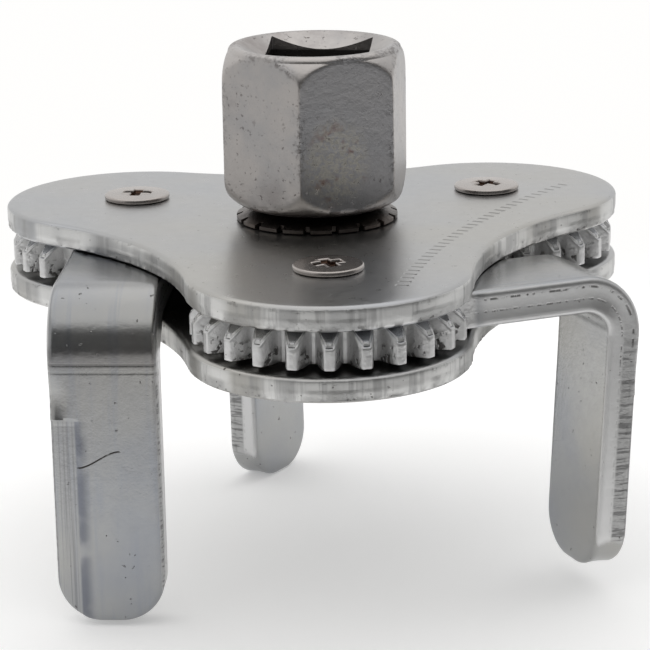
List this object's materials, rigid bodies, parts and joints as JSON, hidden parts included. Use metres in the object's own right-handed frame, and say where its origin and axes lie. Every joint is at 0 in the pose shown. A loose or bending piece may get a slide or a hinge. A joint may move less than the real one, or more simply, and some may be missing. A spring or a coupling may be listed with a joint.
{
  "type": "oil filter wrench",
  "caption": "Two-way three-jaw oil filter wrench: a hexagon hub with a square drive socket turns geared, bent-leg jaws that swing in from a lobed frame.",
  "frame": {"origin": "centre of the drive square's mouth, on the hub's axis", "axes": "+Z out of the drive square along the hub's axis, legs towards -Z; -Y towards the front lobe's pivot"},
  "size_m": [0.0786, 0.0824, 0.0658],
  "materials": {
    "plate_zinc": "satin zinc plate, sheared edges, small scuffs",
    "jaw_zinc": "bright bluish zinc plate with dark specks",
    "hub_nickel": "warm grey nickel over a forged, pitted surface",
    "screw_nickel": "pinkish nickel, dark in the recess",
    "post_steel": "plain turned steel",
    "gear_steel": "oiled plain steel",
    "dark_spring_steel": "blackened spring steel"
  },
  "bodies": {
    "frame": {"upper_plate": "plate_zinc", "lower_plate": "plate_zinc", "pivot_post_front": "post_steel", "pivot_screw_front": "screw_nickel", "jaw_washer_front": "gear_steel", "pivot_post_right": "post_steel", "pivot_screw_right": "screw_nickel", "jaw_washer_right": "gear_steel", "pivot_post_left": "post_steel", "pivot_screw_left": "screw_nickel", "jaw_washer_left": "gear_steel"},
    "drive": {"drive_hub": "hub_nickel", "sun_gear": "gear_steel", "lock_washer": "dark_spring_steel", "thrust_washer": "gear_steel", "retaining_ring": "dark_spring_steel"},
    "jaw_left": {"jaw_left": "jaw_zinc"},
    "jaw_right": {"jaw_right": "jaw_zinc"},
    "jaw_rear": {"jaw_rear": "jaw_zinc"}
  },
  "joints": [
    {"name": "drive_turn", "type": "hinge", "parent": "frame", "child": "drive", "pos_m": [0, 0, -0.027], "axis": [0, 0, 1], "range_deg": [-0.4, 300]},
    {"name": "jaw_left_swing", "type": "hinge", "parent": "frame", "child": "jaw_left", "pos_m": [-0.0226, 0.01305, -0.027], "axis": [0, 0, 1], "range_deg": [-225, 0.3]},
    {"name": "jaw_right_swing", "type": "hinge", "parent": "frame", "child": "jaw_right", "pos_m": [0, -0.0261, -0.027], "axis": [0, 0, 1], "range_deg": [-225, 0.3]},
    {"name": "jaw_rear_swing", "type": "hinge", "parent": "frame", "child": "jaw_rear", "pos_m": [0.0226, 0.01305, -0.027], "axis": [0, 0, 1], "range_deg": [-225, 0.3]}
  ],
  "couplings": [
    {"joint": "jaw_left_swing", "follows": "drive_turn", "ratio": -0.75},
    {"joint": "jaw_right_swing", "follows": "drive_turn", "ratio": -0.75},
    {"joint": "jaw_rear_swing", "follows": "drive_turn", "ratio": -0.75}
  ]
}
